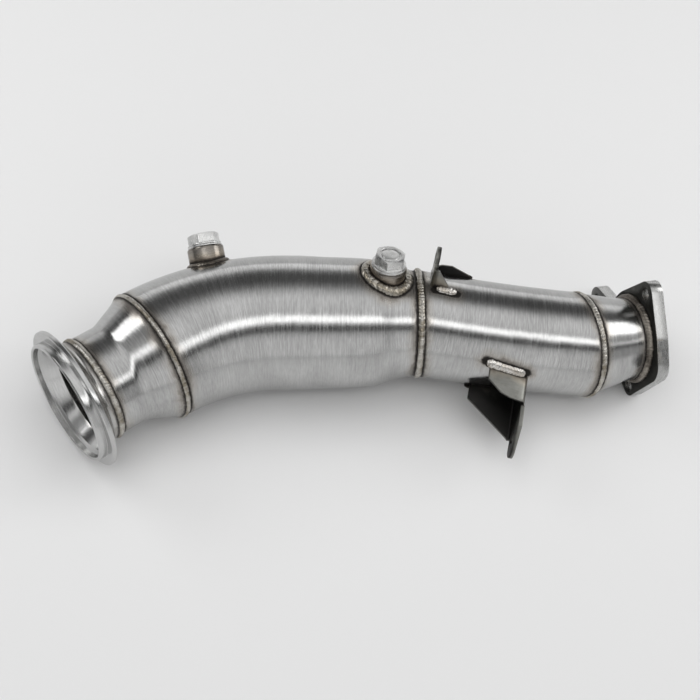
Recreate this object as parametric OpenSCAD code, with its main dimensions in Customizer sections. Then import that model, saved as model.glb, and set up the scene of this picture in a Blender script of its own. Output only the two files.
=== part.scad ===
// Turbo downpipe: V-band inlet flange, flared inlet cone, large bent pipe that
// necks down, curved rear pipe, tapered outlet and three-hole outlet flange,
// with two plugged sensor bosses and two folded brackets, all welded together.
// The part is laid out along its gas path, then turned to lie as it rests.

/* [Gas path] */
// Outside diameter of the large pipe after the inlet cone
main_od = 101.6; // [96:0.2:104]
// Outside diameter of the rear pipe
rear_od = 79.5; // [78:0.1:80]
// Outside diameter of the tube behind the inlet flange
inlet_tube_od = 78; // [76:0.5:79]
// Outside diameter of the outlet pipe where it meets its flange
outlet_od = 63.5; // [60:0.5:64]
// Wall thickness of every pipe
wall = 2; // [1.5:0.1:2.2]
// Length of the inlet cone between its two welds
cone_len = 49.9; // [48:0.1:56]
// Centreline radius of the main bend
bend_r = 170; // [165:1:190]
// Length from the end of the main bend to the middle weld
straight_len = 100.6; // [95:0.2:110]
// Length of the rear pipe along its centreline
rear_len = 128.9; // [122:0.1:132]
// Length of the outlet pipe
outlet_len = 43.5; // [42:0.1:50]

/* [Directions] */
// Rise of the inlet axis, seen from above
inlet_rise = 30.3; // [28:0.1:32]
// Fall of the inlet axis towards the rear
inlet_dip = 22.7; // [20:0.1:24]
// Rise of the main pipe after its bend
main_rise = 0; // [-1:0.1:1]
// Fall of the main pipe after its bend
main_dip = 2.8; // [2:0.1:4]
// Rise of the rear pipe at its front end
rear_rise_a = -10; // [-11:0.1:-8]
// Fall of the rear pipe at its front end
rear_dip_a = 2.8; // [2:0.1:4]
// Rise of the rear pipe at its rear end
rear_rise_b = -4.6; // [-5:0.1:-4]
// Fall of the rear pipe at its rear end
rear_dip_b = 10.3; // [9:0.1:11]
// Rise of the outlet axis
outlet_rise = 6.8; // [6:0.1:8]
// Fall of the outlet axis
outlet_dip = 17.7; // [16:0.1:19]

/* [Inlet flange] */
// Outside diameter of the clamping rim
rim_od = 109.5; // [107:0.5:112]
// Outside diameter of the turned nose
nose_od = 95; // [94:0.5:97]
// Diameter of the bore at the nose's mouth
mouth_d = 89.5; // [88:0.5:90.5]
// How far the nose stands out of the rim's face
nose_len = 6.5; // [5:0.5:8]
// Length of the flange from the rim's face to the end of its hub
inlet_flange_len = 16.4; // [15:0.2:18]

/* [Outlet flange] */
// Thickness of the outlet flange
flange_t = 10; // [8:0.5:12]
// Radius of the flange's round body
flange_body_r = 39.5; // [38.5:0.5:41]
// Radius of the lugs' round ends
lug_r = 10; // [9:0.5:11]
// Diameter of the three bolt holes
bolt_hole_d = 9; // [8.5:0.5:10]

/* [Bosses and plugs] */
// Outside diameter of the two sensor bosses
bung_od = 27.5; // [26:0.5:28.5]
// Diameter of the boss's threaded bore at its crest
bung_bore_d = 16.4; // [16:0.1:17]
// Width across the flats of the plug's hexagon head
plug_af = 21; // [20:0.5:22]

/* [Brackets] */
// Thickness of the brackets' sheet
sheet_t = 3; // [2.5:0.5:3]
// Outside width of both folded brackets
bracket_w = 30; // [28:1:32]
// Diameter of the hole in the upper bracket's ear
ear_hole_d = 9; // [8:0.5:10]
// Diameter of the hole in the lower bracket's tongue
tongue_hole_d = 9; // [8:0.5:10]

/* [Rest attitude] */
// Turn about the long axis as the part lies
rest_roll = 30.6; // [26:0.1:34]
// Turn about the cross axis as the part lies
rest_pitch = -4.3; // [-7:0.1:-2]

/* [Hidden] */
$fn = 240;
gap = 0.75;                       // half the root gap that a weld fills

main_r = main_od/2;
rear_r = rear_od/2;
tube_r = inlet_tube_od/2;
out_r = outlet_od/2;

// ---- vectors along the gas path
function dirv(e, a) = [cos(a)*cos(e), cos(a)*sin(e), -sin(a)];
function unit(v) = v/norm(v);
function turn_angle(a, b) = acos(a*b);
function toward(a, b) = unit(b - (a*b)*a);       // part of b square to a
function arc_pt(P, d, m, r, t) = P + r*m - r*(cos(t)*m - sin(t)*d);
function arc_dir(d, m, t) = cos(t)*d + sin(t)*m;

d_in = dirv(inlet_rise, inlet_dip);
d_main = dirv(main_rise, main_dip);
d_ra = dirv(rear_rise_a, rear_dip_a);
d_rb = dirv(rear_rise_b, rear_dip_b);
d_out = dirv(outlet_rise, outlet_dip);

// stations: the middle weld is the layout's datum
W3 = [0, 0, 0];
BE = W3 - straight_len*d_main;                   // end of the main bend
bend_a = turn_angle(d_in, d_main);
m_bend = toward(-d_main, -d_in);                 // towards the bend's centre, at its end
W2 = arc_pt(BE, -d_main, m_bend, bend_r, bend_a);
m_start = toward(d_in, d_main);                  // towards the bend's centre, at its start
W1 = W2 - cone_len*d_in;
F = W1 - (inlet_flange_len + gap)*d_in;          // centre of the rim's front face
rear_a = turn_angle(d_ra, d_rb);
rear_R = rear_len/(rear_a*PI/180);
m_rear = toward(d_ra, d_rb);
W4 = arc_pt(W3, d_ra, m_rear, rear_R, rear_a);
W5 = W4 + outlet_len*d_out;                      // flange's pipe-side face

// ---- placing
module frame_at(P, z, x) {
    zz = unit(z);
    xx = unit(x - (x*zz)*zz);
    yy = cross(zz, xx);
    multmatrix([[xx[0], yy[0], zz[0], P[0]],
                [xx[1], yy[1], zz[1], P[1]],
                [xx[2], yy[2], zz[2], P[2]],
                [0, 0, 0, 1]]) children();
}
module along(P, z) frame_at(P, z, [0, 0, 1]) children();

// the whole part, turned as it lies, with the inlet rim's centre at the origin
module lay() rotate([rest_roll, rest_pitch, 0]) translate(-F) children();

// ---- revolved walls; each profile point is [station, outside radius]
module shell(pts, t) rotate_extrude()
    polygon(concat([for (p = pts) [p[1], p[0]]],
                   [for (i = [len(pts)-1:-1:0]) [pts[i][1] - t, pts[i][0]]]));
module solid_of(pts) rotate_extrude()
    polygon(concat([[0, pts[0][0]]], [for (p = pts) [p[1], p[0]]],
                   [[0, pts[len(pts)-1][0]]]));
// a round bar or tube bent to an arc: starts at P going along d, bends towards m
module bent(P, d, m, r, a, ro, ri = 0) {
    k = cross(-m, d);
    multmatrix([[-m[0], d[0], k[0], P[0] + r*m[0]],
                [-m[1], d[1], k[1], P[1] + r*m[1]],
                [-m[2], d[2], k[2], P[2] + r*m[2]],
                [0, 0, 0, 1]])
        rotate_extrude(angle = a, $fn = 720)
            translate([r, 0]) difference() {
                circle(ro);
                if (ri > 0) circle(ri);
            }
}
// a weld bead: a domed cap outside a narrow root that fills the joint
module bead(r_bore, r_a, r_b, w, h) rotate_extrude()
    polygon(concat([[r_bore, -gap], [r_a, -gap], [r_a, -w/2]],
                   [for (i = [1:7]) let (u = -cos(180*i/8))
                       [(r_a + r_b)/2 + (r_b - r_a)/2*u + h*sin(180*i/8), u*w/2]],
                   [[r_b, w/2], [r_b, gap], [r_bore, gap]]));

// ---- profiles along the path
cone_pts = [[gap, tube_r], [22, tube_r], [24, tube_r + 0.4], [27, tube_r + 1.7],
            [42, tube_r + 8.1], [45.5, tube_r + 9.8], [47.5, main_r - 0.7],
            [cone_len - gap, main_r - 0.25]];
neck_pts = [[0, main_r - 0.05], [8, main_r - 0.05], [30, main_r - 0.9], [60, main_r - 2],
            [straight_len - 35, main_r - 2.6], [straight_len - 30, main_r - 3.4],
            [straight_len - 26, main_r - 4.8], [straight_len - 21, main_r - 6.7],
            [straight_len - 17, main_r - 7.9], [straight_len - 12, main_r - 9],
            [straight_len - 7.5, rear_r + 1.2], [straight_len - 5, rear_r + 0.3],
            [straight_len - 3.5, rear_r], [straight_len - gap, rear_r]];
out_clear = [[gap, rear_r - 0.2], [4, rear_r - 0.8], [8, rear_r - 1.7], [24, out_r + 2.6],
           [30, out_r + 1.2], [36, out_r + 0.3], [outlet_len, out_r]];

// the rear pipe as a solid bar, square-cut at the middle weld and mitred at its
// rear end to sit square on the outlet pipe; it has its own wall when ri > 0
module rear_bar(ro, ri = 0) difference() {
    bent(rear_pt(-1), rear_dir(-1), unit(-rear_side(-1)), rear_R, rear_a + 2, ro, ri);
    along(W3 + gap*d_main, -d_main) cylinder(r = 70, h = 40);
    along(W4 - gap*d_out, d_out) cylinder(r = 70, h = 40);
}
function rear_pt(t) = arc_pt(W3, d_ra, m_rear, rear_R, t);
function rear_dir(t) = arc_dir(d_ra, m_rear, t);
// outwards from the rear pipe's centre of curvature
function rear_side(t) = cos(t)*(-m_rear) + sin(t)*d_ra;

// ---- inlet end
module inlet_flange() color([0.78, 0.78, 0.77]) lay() along(F, d_in) rotate_extrude()
    polygon([[mouth_d/2, -nose_len + 0.6], [mouth_d/2 + 0.6, -nose_len],
             [nose_od/2 - 1, -nose_len], [nose_od/2, -nose_len + 1], [nose_od/2, 0],
             [rim_od/2 - 0.6, 0], [rim_od/2, 0.6], [rim_od/2, 3.2],
             [rim_od/2 - 0.6, 3.9], [tube_r + 5.5, 8.2], [tube_r + 1.6, 9.6],
             [tube_r + 0.5, 11.6], [tube_r + 0.5, inlet_flange_len],
             [tube_r - wall, inlet_flange_len], [tube_r - wall, 9],
             [mouth_d/2 - 2.6, 0], [mouth_d/2, -2]]);
module inlet_flange_weld() color([0.55, 0.5, 0.45]) lay() along(W1, d_in)
    bead(tube_r - wall, tube_r + 0.5, tube_r, 5.5, 1.5);
module inlet_cone() color([0.72, 0.72, 0.71]) lay() along(W1, d_in)
    shell(cone_pts, wall);
module cone_weld() color([0.6, 0.58, 0.55]) lay() difference() {
    along(W2, d_in) rotate_extrude()
        polygon(concat([[main_r - wall, -gap], [main_r - 1.2, -gap], [main_r - 1.2, -2]],
                       [for (i = [1:5]) [main_r - 0.2 + 1.4*sin(30*i), -2 + 3.6*i/6]],
                       [[main_r - 1.2, 1.6], [main_r - 1.2, 0], [main_r - wall, 0]]));
    along(W1, d_in) solid_of([for (i = [5:len(cone_pts)-1]) cone_pts[i]]);
    bent(W2, d_in, m_start, bend_r, 4, main_r);
}

// ---- main pipe
module main_pipe() color([0.72, 0.72, 0.71]) lay() union() {
    difference() {
        bent(W2, d_in, m_start, bend_r, bend_a, main_r, main_r - wall);
        boss_hole(P_fb, d_fb);
    }
    difference() {
        along(BE, d_main) shell(neck_pts, wall);
        boss_hole(P_rb, d_rb_boss);
    }
}
module mid_weld() color([0.5, 0.47, 0.44]) lay() difference() {
    along(W3, d_main) rotate_extrude()
        polygon(concat([[rear_r - wall, -gap], [rear_r, -gap], [rear_r, -2.4]],
                       [for (i = [1:7]) [rear_r + 0.5 + 1.7*sin(22.5*i), -2.4 + 5.2*i/8]],
                       [[rear_r - wall, 2.8]]));
    rear_bar(rear_r);
    along(W3 + gap*d_main, d_main) cylinder(r = rear_r - wall + 0.2, h = 8);
}

// ---- rear and outlet
module rear_pipe() color([0.72, 0.72, 0.71]) lay() rear_bar(rear_r, rear_r - wall);
module rear_weld() color([0.55, 0.52, 0.48]) lay() difference() {
    along(W4, d_out) rotate_extrude()
        polygon(concat([[rear_r - wall - 0.4, -2.8]],
                       [for (i = [1:7]) [rear_r + 0.2 + 1.9*sin(22.5*i), -2.8 + 5.2*i/8]],
                       [[rear_r - 1.6, 2.4], [rear_r - 1.6, gap], [rear_r - wall - 0.4, gap]]));
    rear_bar(rear_r);
    along(W4, d_out) solid_of(out_clear);
}
module outlet_pipe() color([0.72, 0.72, 0.71]) lay() along(W4, d_out)
    shell(out_clear, wall);
module outlet_flange_weld() color([0.55, 0.52, 0.48]) lay() difference() {
    along(W5, d_out) rotate_extrude()
        polygon([[out_r - 0.5, -5.2], [out_r + 1, -5.2], [out_r + 2.4, -3.9],
                 [out_r + 3.0, -2.2], [out_r + 3.2, 0], [out_r - 0.5, 0]]);
    along(W4, d_out) solid_of(out_clear);
}

// three lugs: distance from the pipe's axis, and angle around it
lugs = [[44, 41], [61.5, -58.5], [39.5, -160]];
shoulder = [28.5, 131, 16];        // a fuller corner between two of the lugs
function pol(r, a) = [r*cos(a), r*sin(a)];
// lobes of the outline in order of angle: distance, angle, radius of the round end, and
// for the long lug, whose flanks are parallel, half the angle of its round end
lobes = [[lugs[0][0], lugs[0][1], lug_r], shoulder, [lugs[2][0], lugs[2][1] + 360, lug_r - 1.8],
         [lugs[1][0], lugs[1][1] + 360, lug_r, 90]];
function half_a(l) = l[3] == undef ? acos((flange_body_r - l[2])/l[0]) : l[3];   // from a lobe's axis to its tangents
function root_a(l) = l[3] == undef ? half_a(l) : asin(l[2]/flange_body_r);       // and to where its flanks meet the body
gap_body_r = flange_body_r - 1.5;  // the body between the long lug and the first one
function lobe_arc(l, n = 14) = [for (i = [0:n]) let (a = l[1] + half_a(l)*(2*i/n - 1))
    pol(l[0], l[1]) + pol(l[2], a)];
function body_arc(a0, a1, r, n = 12) = a1 - a0 < 1 ? [] :
    [for (i = [0:n]) pol(r, a0 + (a1 - a0)*i/n)];
flange_outline = [for (k = [0:3]) let (l = lobes[k], m = lobes[(k + 1)%4])
    for (q = concat(lobe_arc(l), k < 3 ? body_arc(l[1] + root_a(l), m[1] - root_a(m), flange_body_r)
        : body_arc(l[1] + root_a(l), m[1] - root_a(m) + 356, gap_body_r))) q];
// flange frame: X is up across the part, Y is away from the floor side
module flange_frame(P) {
    up = unit([0, 1, 0] - ([0, 1, 0]*d_out)*d_out);
    side = cross(d_out, up);
    frame_at(P, d_out, up) scale_y(side[2] > 0 ? 1 : -1) children();
}
module scale_y(s) if (s > 0) children(); else mirror([0, 1, 0]) children();
module outlet_flange() color([0.75, 0.75, 0.74]) lay() flange_frame(W5)
    difference() {
        linear_extrude(flange_t) polygon(flange_outline);
        for (l = lugs) translate(concat(pol(l[0], l[1]), [-1])) cylinder(d = bolt_hole_d, h = flange_t + 2);
        translate([0, 0, -1]) cylinder(r = out_r - wall, h = flange_t + 2);
    }

// ---- sensor bosses: foot point on the pipe's centreline, and axis
d_fb = unit([-0.19, 0.98, -0.07]);
P_fb = arc_pt(W2, d_in, m_start, bend_r, 19.2);
d_rb_boss = unit([0.13, 0.78, 0.62]);
P_rb = W3 - 29*d_main;
fb_top = main_r + 12.5;            // outer face of the boss, from the foot point
rb_top = main_r + 2.8;
module boss_hole(P, d) along(P, d) cylinder(d = bung_od, h = 80);
module boss(P, d, top) difference() {
    along(P, d) translate([0, 0, 40]) cylinder(d = bung_od, h = top - 40);
    along(P, d) cylinder(d = bung_bore_d, h = 90);
    boss_inside();
}
// what the gas fills, so that a boss ends flush with the pipe's inside
module boss_inside() union() {
    bent(W2, d_in, m_start, bend_r, bend_a, main_r - wall);
    along(BE, d_main) solid_of([for (p = neck_pts) [p[0], p[1] - wall]]);
}
module main_outside() union() {
    bent(W2, d_in, m_start, bend_r, bend_a, main_r);
    along(BE, d_main) solid_of(neck_pts);
}
module boss_fillet(P, d, z, w, h) difference() {
    along(P, d) translate([0, 0, z - 12]) cylinder(r1 = bung_od/2 + w + 12*w/h*0.35, r2 = bung_od/2 + 0.6, h = h + 12);
    along(P, d) cylinder(d = bung_od, h = 90);
    main_outside();
}
module front_sensor_bung() color([0.7, 0.7, 0.7]) lay() boss(P_fb, d_fb, fb_top);
module rear_sensor_bung() color([0.7, 0.7, 0.7]) lay() boss(P_rb, d_rb_boss, rb_top);
module front_bung_weld() color([0.5, 0.46, 0.42]) lay() boss_fillet(P_fb, d_fb, main_r, 3, 2.4);
module rear_bung_weld() color([0.55, 0.5, 0.47]) lay() boss_fillet(P_rb, d_rb_boss, main_r - 5, 5, 5);
module washer(P, d, z) along(P, d) translate([0, 0, z]) difference() {
    cylinder(d = 26, h = 1.5);
    translate([0, 0, -1]) cylinder(d = 18.2, h = 4);
}
// hexagon-headed plug with a round flange; its shank fills the boss's bore
module plug(P, d, z) frame_at(P, d, [cos(plug_turn), 0, sin(plug_turn)]) translate([0, 0, z]) {
    cylinder(d = 25.5, h = 1.4);
    translate([0, 0, 1.4]) intersection() {
        cylinder(d = plug_af/cos(30), h = 7.6, $fn = 6);
        union() {
            cylinder(d = plug_af/cos(30) + 1, h = 6);
            translate([0, 0, 6]) cylinder(d1 = plug_af/cos(30) + 1, d2 = plug_af/cos(30) - 4.6, h = 1.6);
        }
    }
    translate([0, 0, -1.5]) cylinder(d = 18, h = 1.5);
    translate([0, 0, -11]) cylinder(d = bung_bore_d, h = 9.5);
}
plug_turn = 44;                   // how far the hexagons are turned
module front_plug_washer() color([0.85, 0.86, 0.88]) lay() washer(P_fb, d_fb, fb_top);
module rear_plug_washer() color([0.85, 0.86, 0.88]) lay() washer(P_rb, d_rb_boss, rb_top);
module front_bung_plug() color([0.85, 0.87, 0.9]) lay() plug(P_fb, d_fb, fb_top + 1.5);
module rear_bung_plug() color([0.85, 0.87, 0.9]) lay() plug(P_rb, d_rb_boss, rb_top + 1.5);

// ---- brackets: folded channels standing on the rear pipe
// station angle along the rear pipe's arc, and the way each bracket stands out
// channel section in its own frame: X back along the pipe from the web, Z outwards,
// Y across. near and far are the side outlines as [x, z] lists.
module folded(web_pts, near_pts, far_pts, splay = 0) {
    // web: a sheet square to X, from x = -sheet_t to 0
    rotate([90, 0, 90]) translate([0, 0, -sheet_t]) linear_extrude(sheet_t) polygon(web_pts);
    splayed(splay) translate([0, -bracket_w/2 + sheet_t, 0]) rotate([90, 0, 0])
        linear_extrude(sheet_t) polygon(near_pts);
    translate([0, bracket_w/2, 0]) rotate([90, 0, 0]) linear_extrude(sheet_t) polygon(far_pts);
}
// opens the near side outwards, about the channel's outer corner
module splayed(a) translate([-sheet_t, -bracket_w/2, 0]) rotate([0, 0, -a])
    translate([sheet_t, bracket_w/2, 0]) children();
module upper_bracket() color([0.5, 0.5, 0.49]) lay() difference() {
    upper_frame() union() {
        folded([[-bracket_w/2, 20], [bracket_w/2, 20], [bracket_w/2, 39.5], [6.2, 43.5],
                [6.2, 50], [-8.5, 54], [-bracket_w/2, 50.5]],
               [[-sheet_t, 20], [12, 20], [12, 37.5], [0, 51.5], [-sheet_t, 51.5]],
               [[-sheet_t, 20], [31, 20], [31, 36.8], [26, 41], [12, 45.5], [2, 44.5], [-sheet_t, 39.5]]);
        translate([-sheet_t, 0, ear_z]) rotate([0, 90, 0]) cylinder(r = ear_r, h = sheet_t);
    }
    upper_frame() translate([-sheet_t - 1, 0, ear_z]) rotate([0, 90, 0]) cylinder(d = ear_hole_d, h = sheet_t + 2);
    rear_bar(rear_r);
}
ear_r = 8.8;
ear_z = 54.4;
P_ub = rear_pt(rear_a*0.042);
d_ub = unit([0.2, 0.9, 0.42]);
// turned a little sideways, which also lets a bolt through the ear clear the outlet flange
t_ub = unit(rear_dir(rear_a*0.042) - 0.03*cross(d_ub, rear_dir(rear_a*0.042)));
P_lb = rear_pt(rear_a*0.66);
d_lb = unit([-0.17, -0.9, 0.42]);
t_lb = -rear_dir(rear_a*0.66);
module upper_frame() frame_at(P_ub, d_ub, t_ub) children();
module lower_frame() frame_at(P_lb, d_lb, t_lb) children();
// the same frames turned so that X runs truly along the pipe, for the welds
module upper_foot() frame_at(P_ub, unit(d_ub - (d_ub*t_ub)*t_ub), t_ub) children();
foot_t = rear_a*0.66 - 2.78;
module lower_foot() frame_at(P_lb, unit(d_lb - (d_lb*t_lb)*t_lb), t_lb) children();
// fillet along a gusset's foot; side is -1 for the near one and 1 for the far one
module foot_bead(side, x0, x1) translate([x0, 0, 0]) rotate([90, 0, 90]) linear_extrude(x1 - x0)
    scale_x(side) polygon([[bracket_w/2, 41], [bracket_w/2 + 2.4, 39.4], [bracket_w/2 + 4.2, 36.6],
                           [bracket_w/2 + 4.8, 33.4], [bracket_w/2 + 4.8, 28], [bracket_w/2, 28]]);
module scale_x(s) if (s > 0) children(); else mirror([1, 0]) children();
module upper_bracket_welds() color([0.6, 0.58, 0.55]) lay() difference() {
    upper_foot() { foot_bead(-1, 1, 17); foot_bead(1, 3, 29); }
    rear_bar(rear_r);
}
tongue_r = 8;
near_splay = 9.5;                 // the lower bracket's near side stands this much open
module lower_bracket() color([0.5, 0.5, 0.49]) lay() difference() {
    lower_frame() union() {
        folded([[-bracket_w/2, 20], [bracket_w/2, 20], [bracket_w/2, 80], [4 + tongue_r, 88],
                [4 - tongue_r*0.8, 93.2], [-bracket_w/2, 78]],
               [[-sheet_t, 20], [28, 20], [28, 47.8], [17, 55.8], [9, 58], [-sheet_t, 58.8]],
               [[-sheet_t, 20], [35.5, 20], [35.5, 53], [0, 79.5], [-sheet_t, 79.5]], near_splay);
        translate([-sheet_t, 4, 88.6]) rotate([0, 90, 0]) cylinder(r = tongue_r, h = sheet_t);
    }
    lower_frame() translate([-sheet_t - 1, 1.5, 82]) rotate([0, 90, 0]) cylinder(d = tongue_hole_d, h = sheet_t + 2);
    rear_bar(rear_r);
}
module lower_bracket_welds() color([0.6, 0.58, 0.55]) lay() difference() {
    union() {
        lower_frame() splayed(near_splay) foot_bead(-1, 2, 30);
        lower_foot() foot_bead(1, 2, 38);
    }
    // the short stretch of the rear pipe that the beads lie on
    bent(rear_pt(foot_t), rear_dir(foot_t), unit(-rear_side(foot_t)), rear_R, 2.83, rear_r);
}

inlet_flange();
inlet_flange_weld();
inlet_cone();
cone_weld();
main_pipe();
mid_weld();
rear_pipe();
rear_weld();
outlet_pipe();
outlet_flange_weld();
outlet_flange();
front_sensor_bung();
front_bung_weld();
front_plug_washer();
front_bung_plug();
rear_sensor_bung();
rear_bung_weld();
rear_plug_washer();
rear_bung_plug();
upper_bracket();
upper_bracket_welds();
lower_bracket();
lower_bracket_welds();
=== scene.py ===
import math
import bpy
import bmesh
import numpy as np
from mathutils import Matrix, Vector


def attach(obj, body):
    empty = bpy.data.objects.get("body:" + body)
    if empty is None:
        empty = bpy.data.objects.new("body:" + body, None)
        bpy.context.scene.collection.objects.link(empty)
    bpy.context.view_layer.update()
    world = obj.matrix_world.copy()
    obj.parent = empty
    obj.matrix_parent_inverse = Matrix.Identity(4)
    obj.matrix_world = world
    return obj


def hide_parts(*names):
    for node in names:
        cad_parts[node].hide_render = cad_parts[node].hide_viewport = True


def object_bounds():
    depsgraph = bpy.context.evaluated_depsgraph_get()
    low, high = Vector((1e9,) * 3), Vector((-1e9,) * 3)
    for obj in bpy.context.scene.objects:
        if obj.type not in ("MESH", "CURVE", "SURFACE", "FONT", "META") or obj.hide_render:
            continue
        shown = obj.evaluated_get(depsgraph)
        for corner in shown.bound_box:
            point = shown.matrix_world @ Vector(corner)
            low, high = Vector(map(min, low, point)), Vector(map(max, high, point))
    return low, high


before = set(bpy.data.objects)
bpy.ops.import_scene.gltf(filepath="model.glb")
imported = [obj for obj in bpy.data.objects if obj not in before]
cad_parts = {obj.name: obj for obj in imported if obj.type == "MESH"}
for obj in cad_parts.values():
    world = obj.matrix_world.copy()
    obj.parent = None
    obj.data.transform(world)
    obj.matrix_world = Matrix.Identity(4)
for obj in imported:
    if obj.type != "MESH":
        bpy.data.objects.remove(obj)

CAD_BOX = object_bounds()
DEG = math.pi / 180.0

# ---------------------------------------------------------------- the part's layout (mm)
# the same stations and vectors as the CAD model; everything is worked out in the
# layout frame in millimetres and laid down into the row frame in metres at the end
MAIN_R, REAR_R, TUBE_R, OUT_R = 50.8, 39.75, 39.0, 31.75
WALL = 2.0
CONE_LEN, BEND_R, STRAIGHT, REAR_LEN, OUTLET = 49.9, 170.0, 100.6, 128.9, 43.5
FLANGE_LEN, GAP = 16.4, 0.75
ROLL, PITCH = 30.6, -4.3


def dirv(e, a):
    e, a = e * DEG, a * DEG
    return np.array([math.cos(a) * math.cos(e), math.cos(a) * math.sin(e), -math.sin(a)])


def unit(v):
    v = np.array(v, float)
    return v / np.linalg.norm(v)


def toward(a, b):
    return unit(b - (a @ b) * a)


d_in = dirv(30.3, 22.7)
d_main = dirv(0, 2.8)
d_ra = dirv(-10, 2.8)
d_rb = dirv(-4.6, 10.3)
d_out = dirv(6.8, 17.7)


def arc_pt(P, d, m, r, t):
    return P + r * m - r * (math.cos(t * DEG) * m - math.sin(t * DEG) * d)


def arc_dir(d, m, t):
    return math.cos(t * DEG) * d + math.sin(t * DEG) * m


W3 = np.zeros(3)
BE = W3 - STRAIGHT * d_main
bend_a = math.acos(d_in @ d_main) / DEG
W2 = arc_pt(BE, -d_main, toward(-d_main, -d_in), BEND_R, bend_a)
m_start = toward(d_in, d_main)
W1 = W2 - CONE_LEN * d_in
F = W1 - (FLANGE_LEN + GAP) * d_in
rear_a = math.acos(d_ra @ d_rb) / DEG
rear_R = REAR_LEN / (rear_a * DEG)
m_rear = toward(d_ra, d_rb)
W4 = arc_pt(W3, d_ra, m_rear, rear_R, rear_a)
W5 = W4 + OUTLET * d_out

cr, sr, cp, sp = math.cos(ROLL * DEG), math.sin(ROLL * DEG), math.cos(PITCH * DEG), math.sin(PITCH * DEG)
RX = np.array([[1, 0, 0], [0, cr, -sr], [0, sr, cr]])
RY = np.array([[cp, 0, sp], [0, 1, 0], [-sp, 0, cp]])
LAY = RY @ RX


def row(P):
    """Layout millimetres to row-frame metres; takes one point or an array of them."""
    return (np.asarray(P, float) - F) @ LAY.T / 1000.0


def frame_at(z, x):
    z = unit(z)
    x = np.array(x, float)
    x = unit(x - (x @ z) * z)
    return x, np.cross(z, x), z


# ---------------------------------------------------------------- camera
W3_CAM = np.array([50.54, 20.5, 0.0])
cam_data = bpy.data.cameras.new("camera")
cam_data.lens = 81.34
cam_data.sensor_width = 36.0
cam_data.clip_start = 0.01
cam_data.clip_end = 50.0
cam = bpy.data.objects.new("camera", cam_data)
bpy.context.scene.collection.objects.link(cam)
cx, cy, cz = LAY @ [1, 0, 0], LAY @ [0, 1, 0], LAY @ [0, 0, 1]
cpos = row(np.array([0, 0, 1200.0]) - W3_CAM)
cam.matrix_world = Matrix(((cx[0], cy[0], cz[0], cpos[0]), (cx[1], cy[1], cz[1], cpos[1]),
                           (cx[2], cy[2], cz[2], cpos[2]), (0, 0, 0, 1)))
bpy.context.scene.camera = cam

# ---------------------------------------------------------------- smooth radius profiles


def pchip(xs, ys, q):
    """Monotone cubic through the points, so a profile has no kinks and no overshoot."""
    xs, ys, q = np.asarray(xs, float), np.asarray(ys, float), np.asarray(q, float)
    h = np.diff(xs)
    dl = np.diff(ys) / h
    m = np.zeros(len(xs))
    for i in range(1, len(xs) - 1):
        if dl[i - 1] * dl[i] > 0:
            w1, w2 = 2 * h[i] + h[i - 1], h[i] + 2 * h[i - 1]
            m[i] = (w1 + w2) / (w1 / dl[i - 1] + w2 / dl[i])
    m[0], m[-1] = dl[0], dl[-1]
    k = np.clip(np.searchsorted(xs, q, side="right") - 1, 0, len(xs) - 2)
    t = (q - xs[k]) / h[k]
    return ((1 + 2 * t) * (1 - t) ** 2 * ys[k] + t * (1 - t) ** 2 * h[k] * m[k]
            + t * t * (3 - 2 * t) * ys[k + 1] + t * t * (t - 1) * h[k] * m[k + 1])


S = STRAIGHT
CONE = ([0, 22, 24, 27, 42, 45.5, 47.5, CONE_LEN],
        [TUBE_R, TUBE_R, TUBE_R + .4, TUBE_R + 1.7, TUBE_R + 8.1, TUBE_R + 9.8, MAIN_R - .7, MAIN_R - .25])
NECK = ([0, 8, 30, 60, S - 35, S - 30, S - 26, S - 21, S - 17, S - 12, S - 7.5, S - 5, S - 3.5, S],
        [MAIN_R, MAIN_R, MAIN_R - .9, MAIN_R - 2, MAIN_R - 2.6, MAIN_R - 3.4, MAIN_R - 4.8, MAIN_R - 6.7,
         MAIN_R - 7.9, MAIN_R - 9, REAR_R + 1.2, REAR_R + .3, REAR_R, REAR_R])
OUTP = ([0, 4, 8, 24, 30, 36, OUTLET],
        [REAR_R - .2, REAR_R - .8, REAR_R - 1.7, OUT_R + 2.6, OUT_R + 1.2, OUT_R + .3, OUT_R])


class Path:
    """A centreline: an optional arc and then a straight line, with its own radius profile."""

    def __init__(self, P, d, m=None, r=0.0, a=0.0, line=0.0, prof=None, radius=0.0):
        self.P, self.d, self.r, self.line, self.prof, self.radius = P, d, r, line, prof, radius
        self.m = m if m is not None else unit(np.cross(d, [0.3, 1, 0.2]))
        self.arc = r * a * DEG
        self.k = np.cross(d, self.m)
        self.length = self.arc + line

    def at(self, s):
        s = np.asarray(s, float)[..., None]
        t = np.clip(s, None, self.arc) / self.r if self.arc else s * 0
        if self.arc:
            tan = np.cos(t) * self.d + np.sin(t) * self.m
            out = -(np.cos(t) * self.m - np.sin(t) * self.d)
            C = self.P + self.r * self.m + self.r * out
            C = C + np.clip(s - self.arc, 0, None) * tan
        else:
            tan = self.d + s * 0
            out = -self.m + s * 0
            C = self.P + s * self.d
        return C, tan, out

    def rad(self, s):
        if self.prof is None:
            return np.asarray(s, float) * 0 + self.radius
        return pchip(self.prof[0], self.prof[1], np.clip(np.asarray(s, float) - self.arc, 0, self.line))

    def point(self, s, th, inset=0.0):
        C, tan, out = self.at(s)
        r = (self.rad(s) - inset)[..., None]
        return C + r * (np.cos(th)[..., None] * out + np.sin(th)[..., None] * self.k)


cone_path = Path(W1, d_in, line=CONE_LEN, prof=CONE)
main_path = Path(W2, d_in, m_start, BEND_R, bend_a, STRAIGHT, prof=NECK)
rear_path = Path(W3, d_ra, m_rear, rear_R, rear_a, 0.0, radius=REAR_R)
out_path = Path(W4, d_out, line=OUTLET, prof=OUTP)


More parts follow.
